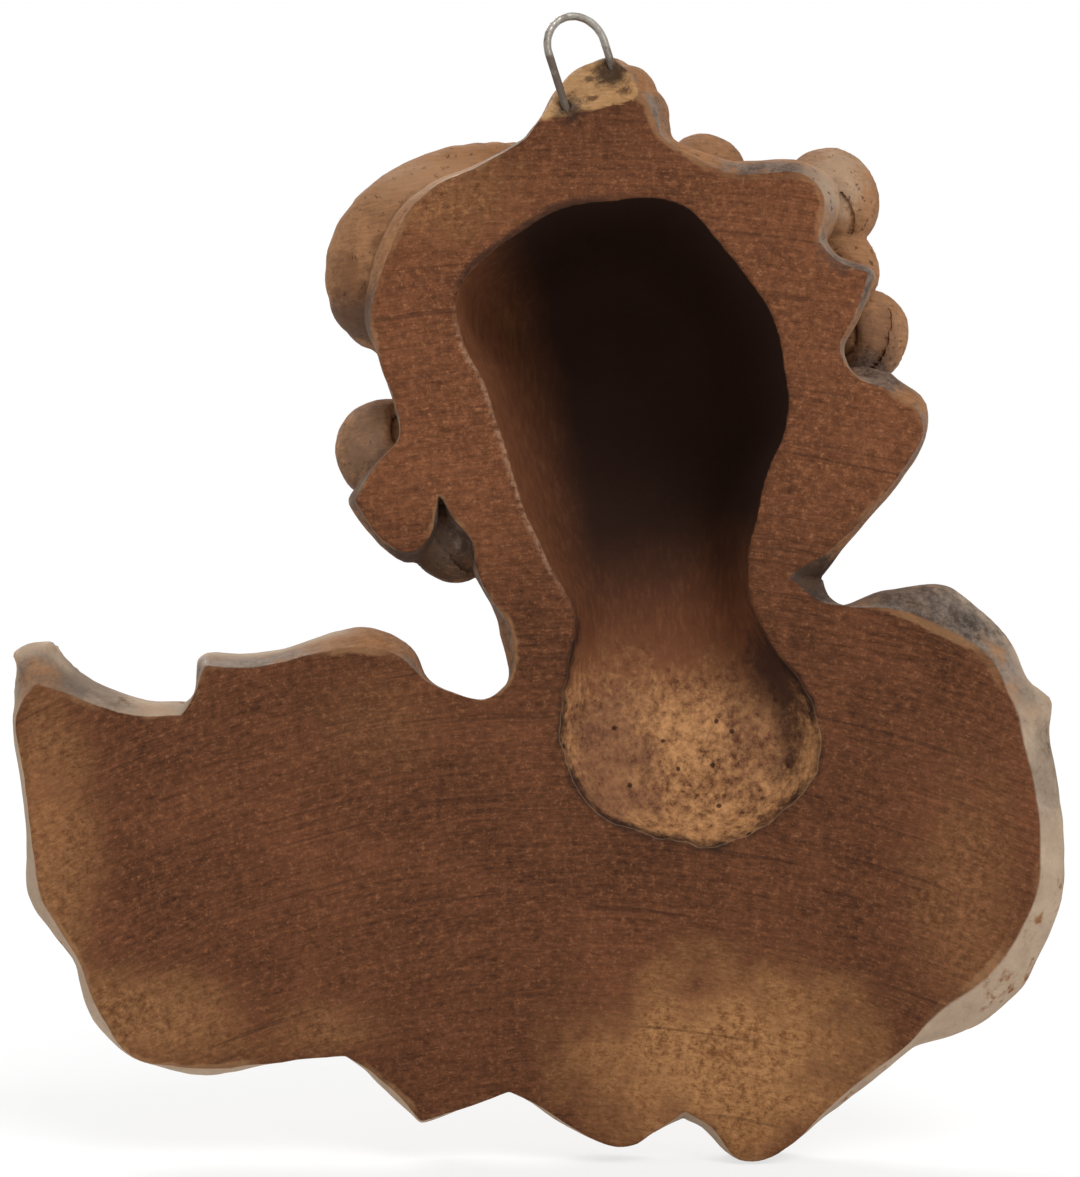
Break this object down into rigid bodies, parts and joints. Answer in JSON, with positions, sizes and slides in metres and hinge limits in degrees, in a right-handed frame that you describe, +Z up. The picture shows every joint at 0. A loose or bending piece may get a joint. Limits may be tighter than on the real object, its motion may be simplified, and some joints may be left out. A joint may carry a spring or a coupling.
{
  "type": "carved angel head",
  "caption": "Carved wooden winged angel head with a flat sawn back, a scooped hollow behind and a bent wire loop at the top for hanging it on a wall.",
  "frame": {"origin": "on the flat sawn back, below the hollow and nearly under the hanging loop", "axes": "+Z up the figure, +Y out of the flat back towards the wall, -Y the way the face looks"},
  "size_m": [0.2665, 0.0931, 0.2896],
  "materials": {
    "stained_wood": "worn dark stain over sawn and carved wood, rubbed pale on the carved front",
    "dull_steel": "dull, slightly rusted bent wire"
  },
  "bodies": {
    "root": {"carved_body": "stained_wood", "hanging_loop": "dull_steel"}
  },
  "joints": []
}
